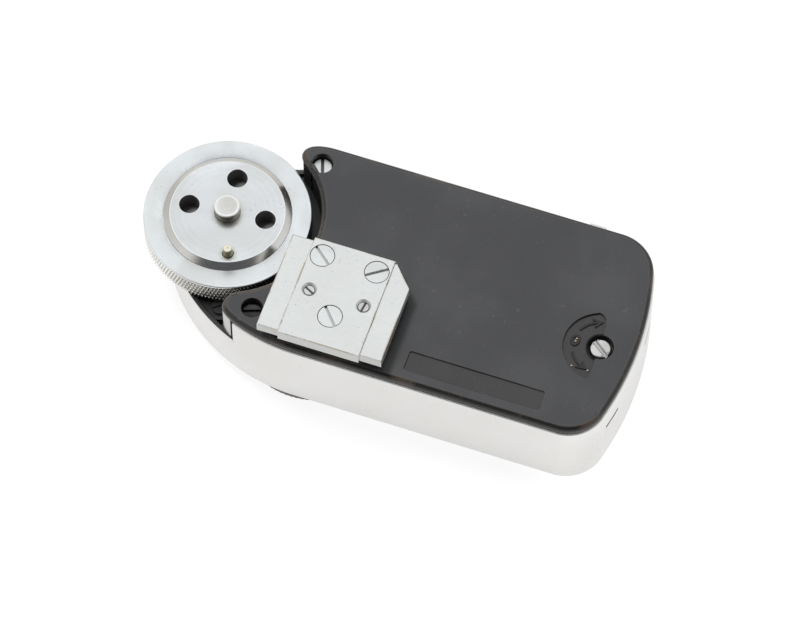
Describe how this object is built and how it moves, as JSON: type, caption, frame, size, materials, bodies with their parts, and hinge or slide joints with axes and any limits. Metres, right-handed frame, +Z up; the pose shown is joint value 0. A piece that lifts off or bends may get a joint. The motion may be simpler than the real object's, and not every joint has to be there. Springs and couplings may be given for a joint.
{
  "type": "selenium light meter",
  "caption": "Clip-on selenium exposure meter lying on its calculator: chrome case, black base cover, accessory-shoe foot and a knurled dial with a driving pin that couples to a shutter dial.",
  "frame": {"origin": "middle of the meter's footprint, on the surface that it lies on, with its foot upwards as pictured", "axes": "+Z up, out of the accessory-shoe foot; +X along the meter, from the coupling dial to the far end; +Y towards the cell window, the meter's front when it is on a camera"},
  "size_m": [0.0752, 0.034, 0.0193],
  "materials": {
    "satin_chrome": "satin chrome over brass, worn at the edges",
    "black_cover": "black satin moulding with dust and fine scratches",
    "foot_chrome": "satin chrome worn to brass on the corners",
    "screw_steel": "turned steel",
    "bay_black": "black lacquer, bright at the return",
    "dial_alloy": "satin turned alloy with a knurled band",
    "brass": "dull turned brass",
    "dial_print": "satin silver with black figures",
    "speed_disc": "matt black with white figures",
    "clear_pane": "clear pane",
    "honeycomb": "moulded honeycomb lenses",
    "scale_white": "cream scale with black figures",
    "cell_silver": "sprayed contact metal",
    "selenium": "dark iridescent selenium",
    "frame_alloy": "stamped alloy",
    "soft_iron": "plain iron and magnet alloy",
    "jewel": "red jewel",
    "needle_red": "red lacquer",
    "coil_copper": "enamelled copper wire on an alloy former",
    "blue_steel": "blued spring",
    "board": "laminated board",
    "resistor_body": "lacquered body with wire ends",
    "lead_sleeve": "coloured sleeving"
  },
  "bodies": {
    "meter_body": {"case_shell": "satin_chrome", "base_cover": "black_cover", "cover_screws": "screw_steel", "shoe_foot": "foot_chrome", "foot_flanges": "foot_chrome", "foot_screws": "screw_steel", "foot_set_screws": "screw_steel", "foot_anchor": "screw_steel", "dial_bay": "bay_black", "dial_bearing": "brass", "bay_posts": "screw_steel", "bay_screws": "screw_steel", "horn_posts": "screw_steel", "calculator_bearing": "brass", "window_bezel": "satin_chrome", "scale_window": "clear_pane", "scale_plate": "scale_white", "scale_posts": "screw_steel", "front_frame": "satin_chrome", "honeycomb_window": "honeycomb", "cell_contact_frame": "cell_silver", "selenium_cell": "selenium", "cell_contact_leaf": "brass", "movement_posts": "screw_steel", "movement_frame": "frame_alloy", "yoke_ring": "soft_iron", "core_magnet": "soft_iron", "core_spacers": "brass", "bridge_posts": "screw_steel", "upper_bridge": "frame_alloy", "jewel_screw": "brass", "lower_jewel": "jewel", "tag_board": "board", "resistor": "resistor_body", "cell_leads": "lead_sleeve", "socket_block": "board", "socket_contacts": "brass"},
    "coupling_dial": {"knurled_ring": "dial_alloy", "coupling_disc": "dial_alloy", "dial_spindle": "screw_steel", "coupling_gear": "brass", "pin_plug": "screw_steel", "pin_spring": "screw_steel"},
    "driving_pin": {"coupling_pin": "brass"},
    "calculator": {"calculator_dial": "dial_print", "calculator_hub": "screw_steel", "calculator_gear": "brass", "calculator_clip": "screw_steel", "dial_centre_screw": "screw_steel"},
    "film_speed": {"film_speed_disc": "speed_disc"},
    "moving_system": {"needle": "needle_red", "moving_coil": "coil_copper", "pivot_staff": "screw_steel", "balance_weights": "brass", "hairspring": "blue_steel"},
    "zero_adjuster": {"zero_screw": "screw_steel"},
    "zero_arm": {"zero_lever": "screw_steel"}
  },
  "joints": [
    {"name": "coupling_dial_turn", "type": "hinge", "parent": "meter_body", "child": "coupling_dial", "pos_m": [-0.02543, 0.00193, 0.012], "axis": [0, 0, 1], "continuous": true},
    {"name": "driving_pin_press", "type": "slide", "parent": "coupling_dial", "child": "driving_pin", "axis": [0, 0, 1], "range_m": [-0.0012, 0], "stiffness_N_per_m": 100, "deforming": ["pin_spring"]},
    {"name": "calculator_turn", "type": "hinge", "parent": "meter_body", "child": "calculator", "pos_m": [-0.00944, -0.00517, 0.001], "axis": [0, 0, 1], "continuous": true},
    {"name": "film_speed_set", "type": "hinge", "parent": "calculator", "child": "film_speed", "pos_m": [-0.00944, -0.00517, 0.0005], "axis": [0, 0, 1], "range_deg": [-80, 80]},
    {"name": "needle_swing", "type": "hinge", "parent": "meter_body", "child": "moving_system", "pos_m": [0.02056, -0.00707, 0.007], "axis": [0, 0, 1], "range_deg": [-70, 0], "stiffness_Nm_per_rad": 0.000003, "deforming": ["hairspring"]},
    {"name": "zero_set", "type": "hinge", "parent": "meter_body", "child": "zero_adjuster", "pos_m": [0.03234, -0.0025, 0.014], "axis": [0, 0, 1], "range_deg": [-45, 45]},
    {"name": "zero_arm_shift", "type": "hinge", "parent": "meter_body", "child": "zero_arm", "pos_m": [0.02056, -0.00707, 0.0118], "axis": [0, 0, 1], "range_deg": [-2, 2]}
  ],
  "couplings": [
    {"joint": "calculator_turn", "follows": "coupling_dial_turn", "ratio": -0.70732},
    {"joint": "zero_arm_shift", "follows": "zero_set", "ratio": 0.0357}
  ]
}
